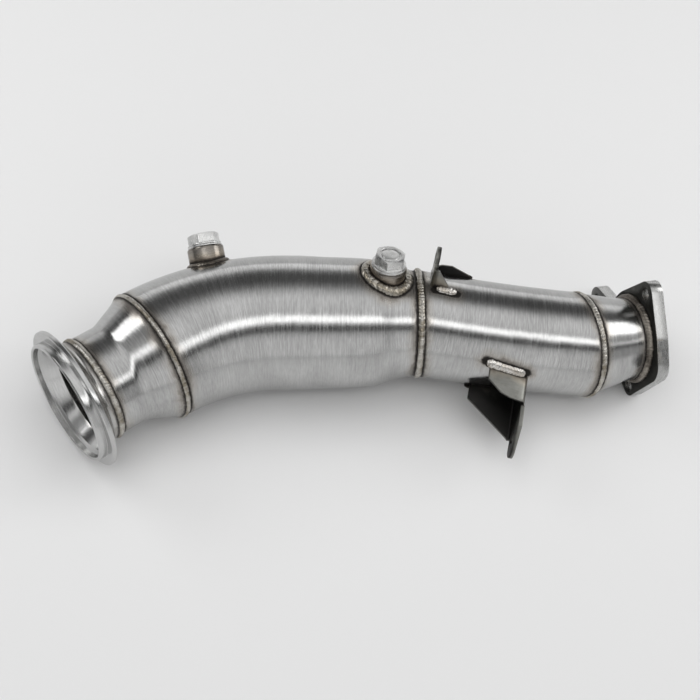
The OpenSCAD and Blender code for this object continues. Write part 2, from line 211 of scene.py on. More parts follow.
def above(path, P):
    """Height of points over a pipe's outer surface (mm, negative inside it)."""
    s = np.linspace(-12, path.length + 12, 900)
    C, tan, _ = path.at(s)
    P = np.atleast_2d(P)
    k = np.argmin(((P[:, None, :] - C[None]) ** 2).sum(2), axis=1)
    v = P - C[k]
    ax = (v * tan[k]).sum(1)
    rad = np.linalg.norm(v - ax[:, None] * tan[k], axis=1)
    return rad - path.rad(s[k] + ax)


def drop(path, start, direction, level=0.0, far=60.0):
    """Distances along direction from each start point down to the pipe's surface (+level)."""
    start = np.atleast_2d(start)
    lo, hi = np.zeros(len(start)), np.full(len(start), far)
    for _ in range(26):
        mid = (lo + hi) / 2
        up = above(path, start + mid[:, None] * direction) > level
        lo, hi = np.where(up, mid, lo), np.where(up, hi, mid)
    return (lo + hi) / 2


# ---------------------------------------------------------------- sensor bosses and brackets (mm)
BUNG_R, BORE_R = 13.75, 8.2
FB = dict(P=arc_pt(W2, d_in, m_start, BEND_R, 19.2), d=unit([-0.19, 0.98, -0.07]), top=MAIN_R + 12.5)
RB = dict(P=W3 - 29 * d_main, d=unit([0.13, 0.78, 0.62]), top=MAIN_R + 2.8)
P_ub, d_ub, t_ub = arc_pt(W3, d_ra, m_rear, rear_R, rear_a * .042), unit([0.2, 0.9, 0.42]), arc_dir(d_ra, m_rear, rear_a * .042)
P_lb, d_lb, t_lb = arc_pt(W3, d_ra, m_rear, rear_R, rear_a * .66), unit([-0.17, -0.9, 0.42]), -arc_dir(d_ra, m_rear, rear_a * .66)
t_ub = unit(t_ub - 0.03 * np.cross(d_ub, t_ub))
SPLAY = 9.5          # the lower bracket's near side stands this much open (degrees)
UB, LB = frame_at(d_ub, t_ub), frame_at(d_lb, t_lb)

# weld toes that leave heat and soot on what is near them: ring joints, boss rings, bracket feet
RINGS = [(W1, d_in, 2.4), (W2, d_in, 1.9), (W3, d_main, 2.7), (W4, d_out, 2.5), (W5, d_out, 4.6)]
foot_lines = []


def weld_distance(P):
    P = np.asarray(P, float).reshape(-1, 3)
    out = np.full(len(P), 60.0)
    for W, d, hw in RINGS:
        v = P - W
        ax = v @ d
        rad = np.linalg.norm(v - ax[:, None] * d, axis=1)
        out = np.where(rad < 62, np.minimum(out, np.abs(ax) - hw), out)
    for b, toe in ((FB, BUNG_R + 3.0), (RB, BUNG_R + 6.3)):
        v = P - b["P"]
        ax = v @ b["d"]
        rad = np.linalg.norm(v - ax[:, None] * b["d"], axis=1)
        out = np.where(ax > 15, np.minimum(out, rad - toe), out)
    for A, B, hw in foot_lines:
        ab = B - A
        t = np.clip(((P - A) @ ab) / (ab @ ab), 0, 1)
        out = np.minimum(out, np.linalg.norm(P - (A + t[:, None] * ab), axis=1) - hw)
    return out


for (X, Y, Z), P0, runs in ((UB, P_ub, ((-1, 1, 17, 0), (1, 3, 29, 0))), (LB, P_lb, ((-1, 0, 32, SPLAY), (1, 0, 40, 0)))):
    for side, x0, x1, open_by in runs:
        ends = []
        for x in (x0, x1):
            top = P0 + x * X + side * (16.6 + (x + 3) * math.tan(open_by * DEG)) * Y + 60 * Z
            ends.append(top - drop(rear_path, top, -Z)[0] * Z)
        foot_lines.append((ends[0], ends[1], 2.6))


# ---------------------------------------------------------------- mesh helpers


def add_mesh(name, verts, faces, tc=None, wd=None, sharp=None, extra=None):
    """verts in layout mm. tc is a straightened (x, y, s) coordinate in mm for the materials."""
    me = bpy.data.meshes.new(name)
    V = row(verts)
    me.from_pydata([tuple(v) for v in V], [], [tuple(int(i) for i in f) for f in faces])
    me.validate()
    me.update()
    me.shade_smooth()
    if sharp is not None:
        me.set_sharp_from_angle(angle=sharp * DEG)
    if tc is None:
        tc = np.asarray(verts, float)
    a = me.attributes.new("tc", "FLOAT_VECTOR", "POINT")
    a.data.foreach_set("vector", np.asarray(tc, np.float32).ravel())
    if wd is None:
        wd = weld_distance(verts)
    a = me.attributes.new("wd", "FLOAT", "POINT")
    a.data.foreach_set("value", np.asarray(wd, np.float32).ravel())
    for key, val in (extra or {}).items():
        a = me.attributes.new(key, "FLOAT", "POINT")
        a.data.foreach_set("value", np.asarray(val, np.float32).ravel())
    ob = bpy.data.objects.new(name, me)
    bpy.context.scene.collection.objects.link(ob)
    return ob


def finish_piece(ob, material, slot, *nodes):
    ob.data.materials.clear()
    ob.data.materials.append(material)
    bm = bmesh.new()
    bm.from_mesh(ob.data)
    bmesh.ops.recalc_face_normals(bm, faces=bm.faces)
    bm.to_mesh(ob.data)
    bm.free()
    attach(ob, "root")
    if nodes:
        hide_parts(*nodes)


def fractions(length, near_a=9.0, near_b=9.0, fine=0.9, coarse=2.6):
    """Stations from 0 to 1, closer together near both ends, where the heat marks are."""
    s, out = 0.0, [0.0]
    while s < length - 0.4:
        e = min(s / near_a, (length - s) / near_b, 1.0)
        s += fine + (coarse - fine) * max(0.0, min(1.0, (e - 0.8) * 5))
        out.append(min(s, length))
    if length - out[-1] > 1e-6:
        out.append(length)
    return np.array(out) / length


def tube(name, path, cut_a=None, cut_b=None, n=224, fr=None, inner=WALL):
    """A pipe wall along a path; cut_a and cut_b are (point, normal) planes its ends lie on."""
    th = np.linspace(0, 2 * math.pi, n, endpoint=False)

    def solve(cut, s0, inset):
        if cut is None:
            return np.full(n, s0)
        P, d = cut
        s = np.full(n, float(s0))
        for _ in range(12):
            X = path.point(s, th, inset)
            X2 = path.point(s + 0.01, th, inset)
            f, f2 = (X - P) @ d, (X2 - P) @ d
            s = s - f / ((f2 - f) / 0.01)
        return s

    fr = fractions(path.length) if fr is None else fr
    verts, tc = [], []
    for inset in (0.0, inner):
        sa, sb = solve(cut_a, 0.0, inset), solve(cut_b, path.length, inset)
        for f in (fr if inset == 0 else fr[::-1]):
            s = sa + (sb - sa) * f
            verts.append(path.point(s, th, inset))
            r = float(path.rad(np.array([s.mean()]))[0]) - inset
            tc.append(np.stack([r * np.cos(th), r * np.sin(th), s], 1))
    R = len(verts)
    verts, tc = np.concatenate(verts), np.concatenate(tc)
    i, j = np.meshgrid(np.arange(R), np.arange(n), indexing="ij")
    i2, j2 = (i + 1) % R, (j + 1) % n
    faces = np.stack([i * n + j, i * n + j2, i2 * n + j2, i2 * n + j], -1).reshape(-1, 4)
    return add_mesh(name, verts, faces, tc, sharp=40)


def rounded(pts, r=0.4, n=3):
    """Rounds the corners of a closed 2-D loop; r may be one radius or one per point."""
    out, N = [], len(pts)
    pts = [np.array(p, float) for p in pts]
    for i, p in enumerate(pts):
        a, b = pts[i - 1] - p, pts[(i + 1) % N] - p
        la, lb = np.linalg.norm(a), np.linalg.norm(b)
        ri = r[i] if isinstance(r, (list, tuple)) else r
        ua, ub = a / la, b / lb
        half = math.acos(max(-1, min(1, ua @ ub))) / 2
        if ri <= 0 or half > 88 * DEG:
            out.append(p)
            continue
        t = min(ri / math.tan(half), 0.45 * la, 0.45 * lb)
        A, B = p + ua * t, p + ub * t
        for k in range(n + 1):
            f = k / n
            out.append((1 - f) ** 2 * A + 2 * f * (1 - f) * p + f * f * B)
    return out


def lathe(name, P, d, loop, n=192, x=None, sharp=35, dense=2.5):
    """Turns a closed loop of (radius, station) points round the axis through P along d."""
    X, Y, Z = frame_at(d, x if x is not None else unit(np.cross(d, [0.31, 0.77, 0.2])))
    pts = []
    for i, p in enumerate(loop):
        q = np.array(loop[(i + 1) % len(loop)], float)
        p = np.array(p, float)
        k = max(1, int(np.linalg.norm(q - p) / dense))
        pts += [p + (q - p) * j / k for j in range(k)]
    pts = np.array(pts)
    th = np.linspace(0, 2 * math.pi, n, endpoint=False)
    M = len(pts)
    ring = np.cos(th)[:, None] * X + np.sin(th)[:, None] * Y
    verts = (P + pts[:, 1][:, None, None] * Z + pts[:, 0][:, None, None] * ring[None]).reshape(-1, 3)
    tc = np.stack([pts[:, 0][:, None] * np.cos(th), pts[:, 0][:, None] * np.sin(th),
                   np.repeat(pts[:, 1][:, None], n, 1)], -1).reshape(-1, 3)
    i, j = np.meshgrid(np.arange(M), np.arange(n), indexing="ij")
    i2, j2 = (i + 1) % M, (j + 1) % n
    faces = np.stack([i * n + j, i2 * n + j, i2 * n + j2, i * n + j2], -1).reshape(-1, 4)
    return add_mesh(name, verts, faces, tc, sharp=sharp)


def noise1(seed):
    """A smooth repeatable wobble of one variable, about -1 to 1."""
    rng = np.random.RandomState(seed)
    a, ph, fr = rng.uniform(.4, 1, 7), rng.uniform(0, 6.28, 7), rng.uniform(.4, 3.2, 7)
    return lambda x: sum(a[k] * np.sin(fr[k] * x + ph[k]) for k in range(7)) / 3.2


def bead(name, A, B, out, bulge, amp, pitch, seed, closed=True, across=15, per=9, lean=0.55, sink=0.5):
    """A weld run between two toe lines A and B (arrays of points), standing out along out.

    The ripples are the overlapping puddles of the run: rounded scales with sharp valleys,
    bowed forward in the middle of the run, each one a little different."""
    A, B, out = (np.asarray(v, float) for v in (A, B, out))
    mid = (A + B) / 2
    seg = np.linalg.norm(np.diff(np.vstack([mid, mid[:1]]) if closed else mid, axis=0), axis=1)
    L = seg.sum()
    cum = np.concatenate([[0], np.cumsum(seg)])
    count = max(3, int(round(L / pitch)))
    M = count * per
    s = np.linspace(0, L, M, endpoint=not closed)

    def res(V):
        W = np.vstack([V, V[:1]]) if closed else V
        return np.stack([np.interp(s, cum[:len(W)], W[:, k]) for k in range(3)], 1)

    A, B, out = res(A), res(B), res(out)
    out /= np.linalg.norm(out, axis=1)[:, None]
    t = np.linspace(0, 1, across)
    w1, w2, w3 = noise1(seed), noise1(seed + 1), noise1(seed + 2)
    rng = np.random.RandomState(seed + 3)
    each = rng.uniform(-1, 1, count + 4)
    widen = 1 + 0.07 * w1(s * 0.35) + 0.05 * w2(s * 1.1)
    cross = B - A
    ctr = (A + B) / 2
    rows, tcs, edge, tone = [], [], [], []
    cap = np.ones(M) if closed else np.clip(np.minimum(s, L - s) / (pitch * 1.1), 0, 1) ** 0.5
    for tt in t:
        u = 2 * tt - 1
        dome = max(0.0, 1 - abs(u) ** 2.2)
        ph = s / L * count + lean * (1 - u * u) + 0.10 * w3(s * 0.8)
        k = np.floor(ph).astype(int) % count
        f = ph - np.floor(ph)
        scale = np.sqrt(np.clip(1 - (2 * f - 1) ** 2, 0, 1)) ** 0.8 - 0.55
        scale = scale + (0.5 - f) * 0.5
        h = bulge * dome * (1 + 0.10 * w2(s * 0.5)) + amp * scale * dome ** 0.5 * (1 + 0.5 * each[k])
        h = h * cap - sink * (1 - dome) * 0.5 - (1 - cap) * 0.4
        off = u * 0.5 * (0.25 + 0.75 * cap) * widen * (1 + 0.05 * each[k])
        rows.append(ctr + off[:, None] * cross + h[:, None] * out)
        tcs.append(np.stack([np.full(M, tt * np.linalg.norm(cross, axis=1).mean()), each[k] * 7, s], 1))
        edge.append(np.full(M, abs(u)))
        tone.append(each[k])
    for u in (1.0, -1.0):
        rows.append(ctr + (u * 0.42) * cross - (sink + 0.5) * out)
        tcs.append(tcs[0])
        edge.append(np.ones(M))
        tone.append(np.zeros(M))
    V = np.stack(rows, 1)
    K = V.shape[1]
    V = V.reshape(-1, 3)
    T = np.stack(tcs, 1).reshape(-1, 3)
    E = np.stack(edge, 1).ravel()
    O = np.stack(tone, 1).ravel()
    faces = []
    for i in range(M if closed else M - 1):
        i2 = (i + 1) % M
        for j in range(K):
            j2 = (j + 1) % K
            faces.append((i * K + j, i2 * K + j, i2 * K + j2, i * K + j2))
    if not closed:
        faces.append(tuple(range(K)))
        faces.append(tuple((M - 1) * K + j for j in reversed(range(K))))
    return V, faces, T, E, O


def bead_object(name, runs):
    V, FC, T, E, O, base = [], [], [], [], [], 0
    for v, f, t, e, o in runs:
        V.append(v); T.append(t); E.append(e); O.append(o)
        FC += [tuple(i + base for i in q) for q in f]
        base += len(v)
    return add_mesh(name, np.vstack(V), FC, np.vstack(T), wd=np.zeros(base), extra={"edge": np.concatenate(E), "tone": np.concatenate(O)})


def ring_bead(name, W, d, r_a, r_b, sa, sb, bulge, amp, pitch, seed, flip=False, **kw):
    X, Y, Z = frame_at(d, unit(np.cross(d, [0.31, 0.77, 0.2])))
    th = np.linspace(0, 2 * math.pi, 400, endpoint=False)
    if flip:
        th = -th
    ring = np.cos(th)[:, None] * X + np.sin(th)[:, None] * Y
    A, B = W + sa * Z + r_a * ring, W + sb * Z + r_b * ring
    n2 = np.array([sb - sa, r_b - r_a])
    n2 = np.array([n2[0], -n2[1]]) / np.linalg.norm(n2)      # (radial, axial) normal of the chord
    out = n2[0] * ring + n2[1] * Z
    return bead(name, A, B, out, bulge, amp, pitch, seed, **kw)


# ---------------------------------------------------------------- materials


class Mat:
    def __init__(self, name):
        self.m = bpy.data.materials.new(name)
        self.m.use_nodes = True
        self.t = self.m.node_tree
        self.b = self.t.nodes["Principled BSDF"]

    def node(self, kind, **props):
        n = self.t.nodes.new(kind)
        for k, v in props.items():
            setattr(n, k, v)
        return n

    def put(self, sock, v):
        if isinstance(v, bpy.types.NodeSocket):
            self.t.links.new(v, sock)
        else:
            sock.default_value = v

    def attr(self, name, vector=False):
        n = self.node("ShaderNodeAttribute", attribute_name=name)
        return n.outputs["Vector" if vector else "Fac"]

    def scaled(self, vec, sx, sy, sz):
        n = self.node("ShaderNodeVectorMath", operation="MULTIPLY")
        self.put(n.inputs[0], vec)
        n.inputs[1].default_value = (sx, sy, sz)
        return n.outputs[0]

    def noise(self, vec, scale=1.0, detail=3.0, rough=0.55, dist=0.0):
        n = self.node("ShaderNodeTexNoise")
        self.put(n.inputs["Vector"], vec)
        n.inputs["Scale"].default_value = scale
        n.inputs["Detail"].default_value = detail
        n.inputs["Roughness"].default_value = rough
        n.inputs["Distortion"].default_value = dist
        return n.outputs["Fac"]

    def math(self, op, a, b=0.0, clamp=False):
        n = self.node("ShaderNodeMath", operation=op, use_clamp=clamp)
        self.put(n.inputs[0], a)
        self.put(n.inputs[1], b)
        return n.outputs[0]

    def range(self, v, a, b, c=0.0, d=1.0, smooth=True):
        n = self.node("ShaderNodeMapRange", interpolation_type="SMOOTHSTEP" if smooth else "LINEAR")
        self.put(n.inputs["Value"], v)
        n.inputs["From Min"].default_value = a
        n.inputs["From Max"].default_value = b
        n.inputs["To Min"].default_value = c
        n.inputs["To Max"].default_value = d
        return n.outputs["Result"]

    def mix(self, f, a, b, blend="MIX"):
        n = self.node("ShaderNodeMix", data_type="RGBA", blend_type=blend)
        self.put(n.inputs[0], f)
        for sock, v in ((n.inputs[6], a), (n.inputs[7], b)):
            self.put(sock, v if isinstance(v, bpy.types.NodeSocket) else (*v, 1.0))
        return n.outputs[2]

    def bump(self, h, dist, strength=1.0, under=None):
        n = self.node("ShaderNodeBump")
        n.inputs["Strength"].default_value = strength
        n.inputs["Distance"].default_value = dist
        self.put(n.inputs["Height"], h)
        if under is not None:
            self.put(n.inputs["Normal"], under)
        return n.outputs["Normal"]

    def done(self, color, rough, normal=None, metallic=1.0, edge=None):
        if edge is not None:
            self.b.inputs["Specular Tint"].default_value = (edge, edge, edge, 1.0)
        self.put(self.b.inputs["Base Color"], color)
        self.put(self.b.inputs["Roughness"], rough)
        self.b.inputs["Metallic"].default_value = metallic
        if isinstance(metallic, bpy.types.NodeSocket):
            self.put(self.b.inputs["Metallic"], metallic)
        if normal is not None:
            self.put(self.b.inputs["Normal"], normal)
        return self.m


def steel(name, dark, light, rough, strokes=1.0, soot=1.0, heat=0.7, around=0.035, fine=2.3, wave=1.0, scale=None, edge=0.85):
    """Brushed stainless: strokes run round the pipe, with heat tint and soot near the welds, and painted shade in the
    dark colour given as scale where the scale attribute is set.
    """
    k = Mat(name)
    tc = k.attr("tc", True)
    wd = k.attr("wd")
    hair = k.noise(k.scaled(tc, around, around, fine), 1.0, 4.0, 0.62)
    dash = k.noise(k.scaled(tc, 0.16, 0.16, 0.9), 1.0, 2.0, 0.5)
    cloud = k.noise(k.scaled(tc, 0.022, 0.022, 0.03), 1.0, 2.0, 0.5, 0.6)
    patch = k.noise(k.scaled(tc, 0.055, 0.055, 0.055), 1.0, 3.0, 0.6, 0.4)
    hs = k.range(hair, 0.30, 0.70)
    ds = k.range(dash, 0.32, 0.68)
    mixv = k.math("ADD", k.math("MULTIPLY", hs, 0.45 * strokes), k.math("MULTIPLY", ds, 0.25 * strokes))
    mixv = k.math("ADD", mixv, k.math("MULTIPLY", k.range(cloud, 0.3, 0.7), 0.30))
    col = k.mix(mixv, dark, light)
    # heat: straw close in, then brown, fading out unevenly
    rag = k.math("MULTIPLY", k.math("SUBTRACT", patch, 0.5), 13.0)
    hw = k.math("ADD", wd, rag)
    straw = k.range(hw, 9.0, 2.0)
    brown = k.range(hw, 4.6, 0.8)
    col = k.mix(k.math("MULTIPLY", straw, 0.50 * heat), col, (0.36, 0.31, 0.24))
    col = k.mix(k.math("MULTIPLY", brown, 0.75 * heat), col, (0.10, 0.08, 0.065))
    grain = k.noise(k.scaled(tc, 0.7, 0.7, 0.7), 1.0, 4.0, 0.7)
    sw = k.math("ADD", wd, k.math("MULTIPLY", k.math("SUBTRACT", grain, 0.5), 3.0))
    so = k.range(sw, 2.3, 0.3)
    col = k.mix(k.math("MULTIPLY", so, 0.93 * soot), col, (0.018, 0.016, 0.015))
    r = k.math("ADD", rough - 0.05, k.math("MULTIPLY", hs, 0.10))
    r = k.math("ADD", r, k.math("MULTIPLY", brown, 0.14))
    r = k.math("ADD", r, k.math("MULTIPLY", so, 0.25), clamp=True)
    # painted shade, not mill scale: where the scale attribute is set, the colour is pulled to the dark colour given as
    # scale and the roughness rises
    if scale is not None:
        painted_shade = k.math("MULTIPLY", k.attr("scale"), k.range(patch, 0.25, 0.45, 0.86, 1.0))
        col = k.mix(painted_shade, col, scale)
        r = k.math("ADD", r, k.math("MULTIPLY", painted_shade, 0.14), clamp=True)
    n1 = k.bump(cloud, 0.0016 * wave, 0.20)
    n2 = k.bump(hair, 0.00006, 0.50 * strokes, n1)
    n3 = k.bump(k.math("MULTIPLY", grain, so), 0.0002, 0.6, n2)
    return k.done(col, r, n3, edge=edge)


def weld_metal(name, gold, bright, dark, rough=0.27, sooty=0.65):
    k = Mat(name)
    tc = k.attr("tc", True)
    edge, tone = k.attr("edge"), k.attr("tone")
    long = k.noise(k.scaled(tc, 0.15, 0.0, 0.045), 1.0, 2.0, 0.5)
    spot = k.noise(k.scaled(tc, 0.8, 0.6, 0.8), 1.0, 3.0, 0.65)
    tint = k.math("ADD", k.math("MULTIPLY", tone, 0.22), k.range(long, 0.35, 0.65))
    col = k.mix(k.math("ADD", tint, 0.0, clamp=True), gold, bright)
    col = k.mix(k.math("MULTIPLY", k.range(spot, 0.52, 0.74), sooty), col, dark)
    rim = k.math("ADD", edge, k.math("MULTIPLY", k.math("SUBTRACT", spot, 0.5), 0.5))
    so = k.range(rim, 0.74, 0.97)
    col = k.mix(k.math("MULTIPLY", so, 0.93), col, (0.016, 0.014, 0.013))
    r = k.math("ADD", rough, k.math("MULTIPLY", k.range(spot, 0.4, 0.75), 0.18))
    r = k.math("ADD", r, k.math("MULTIPLY", so, 0.3), clamp=True)
    return k.done(col, r, k.bump(spot, 0.0002, 0.35))


M_TUBE = steel("brushed_tube", (0.34, 0.34, 0.336), (0.58, 0.58, 0.575), 0.19)
M_TURNED = steel("turned_steel", (0.48, 0.48, 0.475), (0.66, 0.66, 0.655), 0.19, strokes=0.8, soot=0.9, heat=0.5, around=0.012, fine=5.0, wave=0.2)
M_BOSS = steel("boss_steel", (0.15, 0.135, 0.12), (0.36, 0.335, 0.305), 0.22, strokes=0.8, soot=0.9, heat=1.0, around=0.02, fine=3.5, wave=0.2)
# bracket sheet: its scale colour is painted shade, near black, on the inside faces of the channel
M_BRACKET = steel("bracket_sheet", (0.17, 0.17, 0.155), (0.32, 0.32, 0.30), 0.33, strokes=0.5, soot=1.0, heat=0.8, around=0.3, fine=0.3, wave=0.6, scale=(0.028, 0.027, 0.026))
# plate steel: its scale colour is painted shade on the flange's pipe-side face
M_PLATE = steel("plate_steel", (0.36, 0.36, 0.355), (0.60, 0.60, 0.59), 0.27, strokes=0.6, soot=0.9, heat=0.8, around=0.25, fine=0.6, wave=0.4, scale=(0.05, 0.05, 0.046))
M_BEAD = weld_metal("weld_bead", (0.27, 0.24, 0.19), (0.56, 0.54, 0.50), (0.045, 0.038, 0.032))
M_BEAD_DARK = weld_metal("weld_bead_dark", (0.12, 0.105, 0.09), (0.30, 0.275, 0.24), (0.025, 0.022, 0.019), 0.34, 0.85)
M_BEAD_BRIGHT = weld_metal("weld_bead_bright", (0.46, 0.42, 0.37), (0.74, 0.72, 0.69), (0.07, 0.06, 0.05), 0.24, 0.55)


def zinc():
    k = Mat("zinc")
    tc = k.attr("tc", True)
    sp = k.noise(k.scaled(tc, 0.5, 0.5, 0.5), 1.0, 4.0, 0.6)
    cl = k.noise(k.scaled(tc, 0.12, 0.12, 0.12), 1.0, 2.0, 0.5)
    lines = k.noise(k.scaled(tc, 0.05, 0.05, 6.0), 1.0, 2.0, 0.5)
    col = k.mix(k.range(cl, 0.35, 0.65), (0.56, 0.56, 0.555), (0.71, 0.71, 0.70))
    col = k.mix(k.math("MULTIPLY", k.range(sp, 0.60, 0.78), 0.35), col, (0.34, 0.335, 0.32))
    r = k.math("ADD", 0.24, k.math("MULTIPLY", k.range(sp, 0.3, 0.7), 0.14))
    return k.done(col, r, k.bump(lines, 0.00004, 0.5, k.bump(sp, 0.00008, 0.4)))


M_ZINC = zinc()

# ---------------------------------------------------------------- inlet flange
R_IN = TUBE_R
loop = [(44.75, -5.9), (45.35, -6.5), (46.5, -6.5), (47.5, -5.5), (47.5, 0.0), (54.15, 0.0), (54.75, 0.6),
        (54.75, 3.2), (54.15, 3.9), (R_IN + 5.5, 8.2), (R_IN + 1.6, 9.6), (R_IN + 0.5, 11.6), (R_IN + 0.5, 16.35),
        (R_IN - 2, 16.35), (R_IN - 2, 9.0), (42.15, 0.0), (44.75, -2.0)]
ob = lathe("inlet_flange_turned", F, d_in, rounded(loop, [.25, .25, .25, .35, .25, .25, .25, .3, .3, 1.2, 1.2, .8, .15, .1, 1.0, .4, .3]), n=256, dense=2.0)
finish_piece(ob, M_TURNED, "turned_steel", "inlet_flange")

# ---------------------------------------------------------------- pipe walls
ob = tube("inlet_cone_wall", cone_path)
finish_piece(ob, M_TUBE, "brushed_tube", "inlet_cone")
fr = fractions(main_path.length, 9, 12, 0.9, 1.9)
ob = tube("main_pipe_wall", main_path, fr=fr)
main_wall = ob
finish_piece(ob, M_TUBE, "brushed_tube", "main_pipe")
ob = tube("rear_pipe_wall", rear_path, cut_a=(W3 + 0.05 * d_main, d_main), cut_b=(W4 - 0.05 * d_out, d_out),
          fr=fractions(rear_path.length, 9, 9, 0.9, 1.9))
finish_piece(ob, M_TUBE, "brushed_tube", "rear_pipe")
ob = tube("outlet_pipe_wall", out_path)
finish_piece(ob, M_TUBE, "brushed_tube", "outlet_pipe")

# ---------------------------------------------------------------- ring welds
finish_piece(bead_object("inlet_flange_bead", [ring_bead("w1", W1, d_in, TUBE_R + .5, TUBE_R, -2.6, 2.8, 1.25, .42, 2.5, 11)]),
             M_BEAD, "weld_bead", "inlet_flange_weld")
finish_piece(bead_object("cone_bead", [ring_bead("w2", W2, d_in, MAIN_R - .5, MAIN_R - .1, -2.1, 1.8, .95, .32, 2.2, 21)]),
             M_BEAD, "weld_bead", "cone_weld")
finish_piece(bead_object("mid_bead", [ring_bead("w3", W3, d_main, REAR_R + .1, REAR_R + .3, -2.5, 3.0, 1.45, .5, 2.6, 31, flip=True)]),
             M_BEAD, "weld_bead", "mid_weld")
finish_piece(bead_object("rear_bead", [ring_bead("w4", W4, d_out, REAR_R, REAR_R - .6, -2.8, 2.4, 1.5, .5, 2.6, 41)]),
             M_BEAD, "weld_bead", "rear_weld")
finish_piece(bead_object("outlet_flange_bead", [ring_bead("w5", W5, d_out, OUT_R + .1, OUT_R + 3.2, -5.0, 0.0, .75, .4, 2.6, 51)]),
             M_BEAD_DARK, "weld_bead", "outlet_flange_weld")

# ---------------------------------------------------------------- bosses, their rings, plugs and washers


def boss_parts(tag, b, path, w, h, bulge, amp, pitch, seed, bead_mat, node_boss, node_weld, node_washer, node_plug, boss_level=0.3):
    P, d, top = b["P"], b["d"], b["top"]
    turn = 44 * DEG
    X, Y, Z = frame_at(d, [math.cos(turn), 0, math.sin(turn)])
    n = 160
    th = np.linspace(0, 2 * math.pi, n, endpoint=False)
    ring = np.cos(th)[:, None] * X + np.sin(th)[:, None] * Y
    # boss: turned, its foot follows the pipe's surface
    wall_top = P + top * Z + BUNG_R * ring
    foot = drop(path, wall_top + 4 * Z, -Z, -1.0) - 4
    rows = []
    ch = 0.9
    for r, z in ((BORE_R + .3, -9.0), (BORE_R + .3, -1.2), (BORE_R + 1.1, 0.0), (BUNG_R - ch, 0.0), (BUNG_R - ch * .45, -ch * .2), (BUNG_R - .1, -ch * .75), (BUNG_R, -ch * 1.2)):
        rows.append((P + (top + z) * Z + r * ring, r, np.full(n, z)))
    for f in np.linspace(0.08, 1, 14):
        z = -ch * 1.2 + (-(foot) + ch * 1.2) * f
        rows.append((P + (top + z)[:, None] * Z + BUNG_R * ring, BUNG_R, z))
    V = np.vstack([q[0] for q in rows])
    T = np.vstack([np.stack([q[1] * np.cos(th), q[1] * np.sin(th), q[2]], 1) for q in rows])
    WD = np.concatenate([np.full(n, 20.0) if i < 3 else np.maximum(0, foot + q[2] - h - 1.0) for i, q in enumerate(rows)])
    faces = []
    for i in range(len(rows) - 1):
        for j in range(n):
            j2 = (j + 1) % n
            faces.append((i * n + j, i * n + j2, (i + 1) * n + j2, (i + 1) * n + j))
    ob = add_mesh(tag + "_boss", V, faces, T, wd=WD, sharp=32)
    finish_piece(ob, M_BOSS, "boss_steel", node_boss)
    # ring of weld between boss and pipe
    m = 300
    t2 = np.linspace(0, 2 * math.pi, m, endpoint=False)
    rg = np.cos(t2)[:, None] * X + np.sin(t2)[:, None] * Y
    a0 = P + (top + 2) * Z + (BUNG_R - .1) * rg
    A = a0 - (drop(path, a0, -Z, 0.0) - h)[:, None] * Z
    b0 = P + (top + 2) * Z + (BUNG_R + w) * rg
    B = b0 - drop(path, b0, -Z, 0.05)[:, None] * Z
    along = np.roll(A, -1, 0) - np.roll(A, 1, 0)
    out = np.cross(B - A, along)
    out /= np.linalg.norm(out, axis=1)[:, None]
    out = np.where(((out * rg).sum(1) < 0)[:, None], -out, out)
    ob = bead_object(tag + "_boss_bead", [bead(tag, A, B, out, bulge, amp, pitch, seed)])
    finish_piece(ob, bead_mat, "weld_bead", node_weld)
    # crush washer
    lp = rounded([(9.1, 0), (13.0, 0), (13.0, 1.5), (9.1, 1.5)], .55, 4)
    ob = lathe(tag + "_washer_ring", P + top * Z, Z, lp, n=144, dense=1.2)
    finish_piece(ob, M_ZINC, "zinc", node_washer)
    # hexagon plug
    z0 = top + 1.5
    ap, H, rc = 10.5, 9.0, 9.9
    n = 180
    th = np.linspace(0, 2 * math.pi, n, endpoint=False)
    ring = np.cos(th)[:, None] * X + np.sin(th)[:, None] * Y
    rad = ap / np.cos((np.degrees(th) % 60 - 30) * DEG)
    corner = (rad > 11.95) * 0.12
    rad = rad - corner
    rows = [(0.02, 8.62), (3.0, 8.62), (5.9, 8.62), (6.3, 8.55), (6.6, 8.25), (6.9, 8.12), (7.3, 8.12), (7.6, 8.25), (7.8, 8.75), (8.1, 8.98), (9.0, H), (rc - .15, H), (rc, H - .02)]
    rows = [(np.full(n, r), np.full(n, z)) for r, z in rows]
    for f in (0.25, .5, .75, 1.0):
        r = rc + (rad - rc) * f
        rows.append((r, H - .02 - (r - rc) * .50))
    edge_z = rows[-1][1]
    for z in (0.25, 0.9):
        rows.append((rad + .02 * z, edge_z - z * 1.0))
    for f in (0.4, 0.75, 1.0):
        rows.append((rad + .02, (edge_z - 0.9) * (1 - f) + 1.75 * f))
    rows.append((np.maximum(rad, 10.5) + .25, np.full(n, 1.45)))
    for r, z in ((12.35, 1.40), (12.62, 1.25), (12.75, .95), (12.75, .45), (12.62, .15), (12.35, 0.0), (9.0, 0.0), (9.0, -1.5), (8.15, -1.7), (8.15, -10.6), (7.7, -11.0), (0.02, -11.0)):
        rows.append((np.full(n, r), np.full(n, z)))
    V = np.vstack([P + (z0 + z)[:, None] * Z + r[:, None] * ring for r, z in rows])
    T = np.vstack([np.stack([r * np.cos(th), r * np.sin(th), z], 1) for r, z in rows])
    faces = []
    for i in range(len(rows) - 1):
        for j in range(n):
            j2 = (j + 1) % n
            faces.append((i * n + j, i * n + j2, (i + 1) * n + j2, (i + 1) * n + j))
    faces.append(tuple(range(n)))
    faces.append(tuple((len(rows) - 1) * n + j for j in reversed(range(n))))
    ob = add_mesh(tag + "_hex_plug", V, faces, T, wd=np.full(len(V), 40.0), sharp=28)
    finish_piece(ob, M_ZINC, "zinc", node_plug)


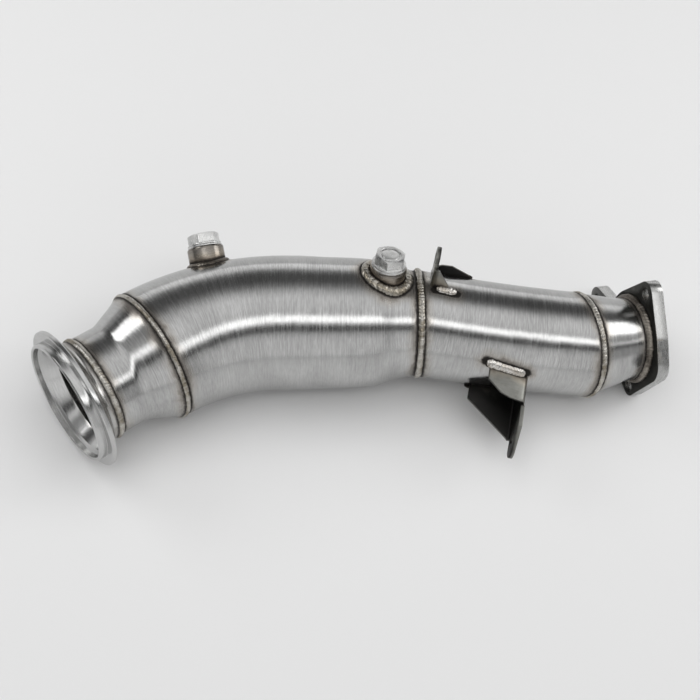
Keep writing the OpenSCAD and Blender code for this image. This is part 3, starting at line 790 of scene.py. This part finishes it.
boss_parts("front", FB, main_path, 3.0, 2.4, .5, .3, 2.4, 61, M_BEAD_DARK, "front_sensor_bung", "front_bung_weld", "front_plug_washer", "front_bung_plug")
boss_parts("rear", RB, main_path, 6.3, 2.4, 1.5, .75, 4.3, 71, M_BEAD, "rear_sensor_bung", "rear_bung_weld", "rear_plug_washer", "rear_bung_plug")

# ---------------------------------------------------------------- brackets


def arc2(c, r, a0, a1, n=14):
    return [(c[0] + r * math.cos((a0 + (a1 - a0) * k / n) * DEG), c[1] + r * math.sin((a0 + (a1 - a0) * k / n) * DEG)) for k in range(n + 1)]


def sheet_bracket(name, P0, fr3, web_side_top, web_head, near_head, near_len, far_head, far_len, hole, nodes, r_mid=3.0, half=13.5, splay=0.0):
    """A channel folded from 3 mm sheet: its middle surface, then thickness and small bevels.

    web_head: the web's outline above its sides, from +y to -y as (y, z);
    near_head and far_head: the gussets' outlines from the fold to the back, as (x, z)."""
    X, Y, Z = fr3
    bm = bmesh.new()

    def z_foot(x, y):
        top = P0 + x * X + y * Y + 60 * Z
        return 60 - drop(rear_path, top, -Z, -1.0)[0]

    def V3(x, y, z):
        return bm.verts.new(tuple(P0 + x * X + y * Y + z * Z))

    xm = -1.5
    yw = half - r_mid
    cs, sn = math.cos(splay * DEG), math.sin(splay * DEG)
    turn_n = 90 - splay
    x1n = xm + r_mid * (1 - math.cos(turn_n * DEG))
    u1n = (x1n + 3 - 1.5 * sn) / cs - 3                       # where the near side's flat part begins
    yw_n = 15 + (u1n + 3) * sn - 1.5 * cs - r_mid * math.sin(turn_n * DEG)

    def near_xy(u):
        return -3 + (u + 3) * cs + 1.5 * sn, -15 - (u + 3) * sn + 1.5 * cs

    # web plane at x = xm, y in [-yw, yw]; the head may be wider than that
    def plate(outline, holes, to3):
        loops = [outline] + holes
        edges = []
        for lp in loops:
            vs = [to3(a, b) for a, b in lp]
            for i in range(len(vs)):
                edges.append(bm.edges.new((vs[i], vs[(i + 1) % len(vs)])))
        bmesh.ops.triangle_fill(bm, edges=edges, use_beauty=True)

    ys = np.linspace(-yw_n, yw, 11)
    zt_n, zt_f = web_side_top
    outline = [(y, z_foot(xm, y)) for y in ys]
    zs = np.linspace(outline[-1][1], zt_f, 9)[1:]
    outline += [(yw, z) for z in zs]
    outline += list(web_head)
    zs2 = np.linspace(zt_n, outline[0][1], 9)[:-1]
    outline += [(-yw_n, z) for z in zs2]
    hy, hz, hr = hole
    plate(outline, [arc2((hy, hz), hr, 0, 348.75, 31)], lambda y, z: V3(xm, y, z))
    # folds and gussets
    for side, zt, head, length in ((-1, zt_n, near_head, near_len), (1, zt_f, far_head, far_len)):
        flat = (lambda u: (u, half)) if side > 0 else near_xy
        yv = yw if side > 0 else yw_n
        zfold = np.linspace(z_foot(xm, side * yv), zt, 9)
        prev = None
        for q in range(7):
            a = (90 if side > 0 else turn_n) * q / 6 * DEG
            x = xm + r_mid * (1 - math.cos(a))
            y = side * (yv + r_mid * math.sin(a))
            z0 = z_foot(x, y)
            col = [V3(x, y, z0 + (z - zfold[0]) * (zt - z0) / (zt - zfold[0])) for z in zfold]
            if prev:
                for i in range(len(col) - 1):
                    bm.faces.new((prev[i], col[i], col[i + 1], prev[i + 1]))
            prev = col
        x0 = xm + r_mid if side > 0 else u1n
        z0 = z_foot(*flat(x0))
        outline = [(x0, z0 + (z - zfold[0]) * (zt - z0) / (zt - zfold[0])) for z in zfold]
        outline += list(head)
        xs = np.linspace(length, x0, 12)
        outline += [(x, z_foot(*flat(x))) for x in xs[:-1]]
        plate(outline, [], lambda x, z: V3(*flat(x), z))
    bmesh.ops.remove_doubles(bm, verts=bm.verts, dist=0.02)
    bmesh.ops.recalc_face_normals(bm, faces=bm.faces)
    me = bpy.data.meshes.new(name)
    bm.to_mesh(me)
    bm.free()
    ob = bpy.data.objects.new(name, me)
    bpy.context.scene.collection.objects.link(ob)
    sol = ob.modifiers.new("thick", "SOLIDIFY")
    sol.thickness = 3.0
    sol.offset = 0.0
    sol.use_even_offset = True
    bev = ob.modifiers.new("edge", "BEVEL")
    bev.width = 0.35
    bev.segments = 2
    bev.limit_method = "ANGLE"
    bev.angle_limit = 50 * DEG
    bev.use_clamp_overlap = False
    dg = bpy.context.evaluated_depsgraph_get()
    me2 = bpy.data.meshes.new_from_object(ob.evaluated_get(dg))
    V = np.array([v.co[:] for v in me2.vertices])
    FC = [tuple(p.vertices) for p in me2.polygons]
    bpy.data.objects.remove(ob, do_unlink=True)
    local = np.stack([(V - P0) @ X, (V - P0) @ Y, (V - P0) @ Z], 1)
    wd = weld_distance(V)
    wd = np.minimum(wd, 60)
    # painted shade: the channel's inside faces get the near-black painted-shade colour through the scale attribute
    lim = 15 - 2.3 + (local[:, 0] + 3) * math.tan(splay * DEG)
    inner = (local[:, 0] > -0.7) & (local[:, 1] < 12.7) & (local[:, 1] > -lim)
    ob = add_mesh(name, V, FC, local, wd=wd, sharp=32, extra={"scale": inner.astype(float)})
    finish_piece(ob, M_BRACKET, "bracket_sheet", *nodes)


up_head = [(9.4, 41.2), (6.7, 43.4), (6.3, 45.6)] + arc2((0, 54.4), 8.8, -44, 187, 26) + [(-10.5, 51.3)]
sheet_bracket("upper_hanger", P_ub, UB, (50.2, 39.8), up_head,
              [(2.0, 49.2), (12.0, 37.5)], 12.0, [(2.1, 43.8), (4.5, 44.8), (12.0, 45.5), (26.0, 41.0), (31.0, 36.8)], 31.0,
              (0, 54.4, 4.5), ["upper_bracket"])
lo_head = [(10.5, 83.6)] + arc2((4, 88.6), 8.0, 10, 150, 16) + [(-14.9, 77.8), (-14.9, 61.5), (-12.5, 59.8)]
sheet_bracket("lower_support", P_lb, LB, (58.7, 79.6), lo_head,
              [(9.0, 58.0), (17.0, 55.8), (28.0, 47.8)], 28.0, [(2.2, 78.2), (35.5, 53.0)], 35.5, (1.5, 82, 4.5), ["lower_bracket"], splay=SPLAY)


def foot_runs(P0, d0, t0, runs, width, height, bulge, amp, pitch, seed):
    X, Y, Z = frame_at(d0, t0)
    res = []
    for q, (side, x0, x1, open_by) in enumerate(runs):
        xs = np.linspace(x0, x1, 40)
        A, B = [], []
        for x in xs:
            at_y = 15.0 + (x + 3) * math.tan(open_by * DEG)
            hi = P0 + x * X + side * at_y * Y + 60 * Z
            a = hi - (drop(rear_path, hi, -Z)[0] - height) * Z
            lo = P0 + x * X + side * (at_y + width) * Y + 60 * Z
            b = lo - drop(rear_path, lo, -Z)[0] * Z
            A.append(a); B.append(b)
        A, B = np.array(A), np.array(B)
        o = np.cross(B - A, X)
        o = np.where(((o @ Z) < 0)[:, None], -o, o)
        res.append(bead("foot", A, B, o, bulge, amp, pitch, seed + 7 * q, closed=False))
    return res


finish_piece(bead_object("upper_hanger_beads", foot_runs(P_ub, d_ub, t_ub, ((-1, 1.5, 17, 0), (1, 3.5, 29, 0)), 3.6, 3.0, .9, .4, 2.6, 81)),
             M_BEAD_BRIGHT, "weld_bead", "upper_bracket_welds")
finish_piece(bead_object("lower_support_beads", foot_runs(P_lb, d_lb, t_lb, ((-1, .5, 31.5, SPLAY), (1, 1, 39, 0)), 4.0, 3.4, 1.0, .45, 2.7, 91)),
             M_BEAD_BRIGHT, "weld_bead", "lower_bracket_welds")

# ---------------------------------------------------------------- outlet flange
LUGS = [(44, 41), (61.5, -58.5), (39.5, -160)]
BODY_R, LUG_R, FT = 39.5, 10.0, 10.0
LOBES = [(44, 41, LUG_R), (28.5, 131, 16), (39.5, 200, LUG_R - 1.8), (61.5, 301.5, LUG_R, 90)]


def pol(r, a):
    return np.array([r * math.cos(a * DEG), r * math.sin(a * DEG)])


def half_a(l):
    return l[3] if len(l) > 3 else math.acos((BODY_R - l[2]) / l[0]) / DEG


def root_a(l):
    return math.asin(l[2] / BODY_R) / DEG if len(l) > 3 else half_a(l)


outline = []
for k in range(4):
    l, m = LOBES[k], LOBES[(k + 1) % 4]
    for i in range(25):
        a = l[1] + half_a(l) * (2 * i / 24 - 1)
        outline.append(pol(l[0], l[1]) + pol(l[2], a))
    a0, a1 = l[1] + root_a(l), m[1] - root_a(m) + (356 if k == 3 else 0)
    if a1 - a0 > 1:
        outline += [pol(BODY_R - (1.5 if k == 3 else 0), a0 + (a1 - a0) * i / 16) for i in range(17)]
clean = [outline[0]]
for p in outline[1:]:
    if np.linalg.norm(p - clean[-1]) > 0.4:
        clean.append(p)
if np.linalg.norm(clean[0] - clean[-1]) < 0.4:
    clean.pop()
upv = unit(np.array([0, 1.0, 0]) - d_out[1] * d_out)
sv = np.cross(d_out, upv)
sv = sv if sv[2] > 0 else -sv


def flange_plate():
    loops = [clean] + [[pol(l[0], l[1]) + pol(4.5, -a) for a in np.arange(0, 360, 7.5)] for l in LUGS] \
        + [[pol(OUT_R - WALL, -a) for a in np.arange(0, 360, 3.0)]]
    ch = 0.55
    bm = bmesh.new()
    rings = []
    for q, lp in enumerate(loops):
        lp = np.array(lp)
        tan = np.roll(lp, -1, 0) - np.roll(lp, 1, 0)
        tan /= np.linalg.norm(tan, axis=1)[:, None]
        nrm = np.stack([tan[:, 1], -tan[:, 0]], 1)         # away from the metal
        c = ch if q < 4 else 0.4
        prof = [(-c, 0.0), (-c * .3, c * .3), (0.0, c), (0.0, FT * .5), (0.0, FT - c), (-c * .3, FT - c * .3), (-c, FT)]
        cols = []
        for off, z in prof:
            cols.append([bm.verts.new(tuple(W5 + (p[0] * upv + p[1] * sv) + z * d_out)) for p in lp + off * nrm])
        for a, b in zip(cols, cols[1:]):
            for i in range(len(lp)):
                j = (i + 1) % len(lp)
                bm.faces.new((a[i], a[j], b[j], b[i]))
        rings.append(cols)
    for end in (0, -1):
        edges = []
        for cols in rings:
            vs = cols[end]
            for i in range(len(vs)):
                e = bm.edges.get((vs[i], vs[(i + 1) % len(vs)]))
                edges.append(e)
        bmesh.ops.triangle_fill(bm, edges=edges, use_beauty=True)
    bmesh.ops.recalc_face_normals(bm, faces=bm.faces)
    me = bpy.data.meshes.new("tmp")
    bm.to_mesh(me)
    bm.free()
    V = np.array([v.co[:] for v in me.vertices])
    FC = [tuple(p.vertices) for p in me.polygons]
    bpy.data.meshes.remove(me)
    loc = np.stack([(V - W5) @ upv, (V - W5) @ sv, (V - W5) @ d_out], 1)
    rad = np.hypot(loc[:, 0], loc[:, 1])
    wd = np.where(loc[:, 2] < 5, rad - OUT_R - 4.2, 60.0)
    # painted shade: the pipe-side face (within 0.3 mm of it) is darkened through the scale attribute, fully round
    # radius 40 and fading further from it
    return add_mesh("outlet_flange_plate", V, FC, loc, wd=wd, sharp=30,
                    extra={"scale": np.where(loc[:, 2] < 0.3, np.clip(1.2 - np.abs(rad - 40) / 60, 0, 1), 0.0)})


finish_piece(flange_plate(), M_PLATE, "plate_steel", "outlet_flange")

# ---------------------------------------------------------------- stage: floor, world and lights
z_floor = CAD_BOX[0][2]
bm = bmesh.new()
bmesh.ops.create_grid(bm, x_segments=1, y_segments=1, size=6.0)
me = bpy.data.meshes.new("floor")
bm.to_mesh(me)
bm.free()
floor = bpy.data.objects.new("floor", me)
floor.location = (0.2, 0.05, z_floor - 0.0002)
bpy.context.scene.collection.objects.link(floor)
k = Mat("pale_floor")
k.b.inputs["Base Color"].default_value = (0.80, 0.80, 0.80, 1)
k.b.inputs["Roughness"].default_value = 0.9
k.b.inputs["Specular IOR Level"].default_value = 0.1
me.materials.append(k.m)

world = bpy.data.worlds.new("studio")
bpy.context.scene.world = world
world.use_nodes = True
wt = world.node_tree
bg = wt.nodes["Background"]
geo = wt.nodes.new("ShaderNodeTexCoord")
sep = wt.nodes.new("ShaderNodeSeparateXYZ")
wt.links.new(geo.outputs["Generated"], sep.inputs[0])
neg = wt.nodes.new("ShaderNodeMath"); neg.operation = "MULTIPLY"; neg.inputs[1].default_value = -1.0
wt.links.new(sep.outputs["Y"], neg.inputs[0])
at = wt.nodes.new("ShaderNodeMath"); at.operation = "ARCTAN2"
wt.links.new(sep.outputs["Z"], at.inputs[0])
wt.links.new(neg.outputs[0], at.inputs[1])
deg = wt.nodes.new("ShaderNodeMapRange")
wt.links.new(at.outputs[0], deg.inputs["Value"])
deg.inputs["From Min"].default_value = 0.0
deg.inputs["From Max"].default_value = math.pi
ramp = wt.nodes.new("ShaderNodeValToRGB")
wt.links.new(deg.outputs["Result"], ramp.inputs[0])
cr_ = ramp.color_ramp
stops = [(0, .80), (30, .80), (41, .55), (46, .05), (54, .05), (58, .50), (62, 2.6), (68.5, 2.6), (73, .66), (86, .92), (104, .95), (114, .70), (124, .26), (134, .10), (151, .10), (160, .28), (167, .95), (180, 1.4)]
while len(cr_.elements) > 1:
    cr_.elements.remove(cr_.elements[-1])
cr_.elements[0].position = 0.0
top = 2.6
for i, (a, v) in enumerate(stops):
    e = cr_.elements[0] if i == 0 else cr_.elements.new(a / 180.0)
    e.color = (v / top, v / top, v / top, 1)
wt.links.new(ramp.outputs[0], bg.inputs["Color"])
# darker to the far left and, less, to the far right, where the room has no screens
side_l = wt.nodes.new("ShaderNodeMapRange"); side_l.interpolation_type = "SMOOTHSTEP"
side_r = wt.nodes.new("ShaderNodeMapRange"); side_r.interpolation_type = "SMOOTHSTEP"
for nd, (f0, f1, t0, t1) in ((side_l, (-0.55, -0.22, 0.35, 1.0)), (side_r, (0.55, 0.85, 1.0, 0.55))):
    wt.links.new(sep.outputs["X"], nd.inputs["Value"])
    for key, val in zip(("From Min", "From Max", "To Min", "To Max"), (f0, f1, t0, t1)):
        nd.inputs[key].default_value = val
both = wt.nodes.new("ShaderNodeMath"); both.operation = "MULTIPLY"
wt.links.new(side_l.outputs["Result"], both.inputs[0])
wt.links.new(side_r.outputs["Result"], both.inputs[1])
lit = wt.nodes.new("ShaderNodeMath"); lit.operation = "MULTIPLY"; lit.inputs[1].default_value = top
wt.links.new(both.outputs[0], lit.inputs[0])
wt.links.new(lit.outputs[0], bg.inputs["Strength"])


def area(name, loc, aim, sx, sy, power):
    d = bpy.data.lights.new(name, "AREA")
    d.shape = "RECTANGLE"
    d.size, d.size_y, d.energy = sx, sy, power
    o = bpy.data.objects.new(name, d)
    bpy.context.scene.collection.objects.link(o)
    o.location = loc
    o.rotation_euler = (Vector(aim) - Vector(loc)).to_track_quat("-Z", "Y").to_euler()
    return o


over = area("over_soft", (0.2, 0.05, 1.6), (0.2, 0.05001, 0), 1.6, 1.6, 9)
over.visible_glossy = False
area("left_panel", (-0.77, 0.46, 0.77), (0.05, 0.03, 0), 0.62, 0.5, 2.6)
area("right_panel", (1.40, 0.40, 0.58), (0.42, 0.08, 0), 0.5, 0.8, 3.2)
bpy.context.scene.view_settings.view_transform = "Standard"
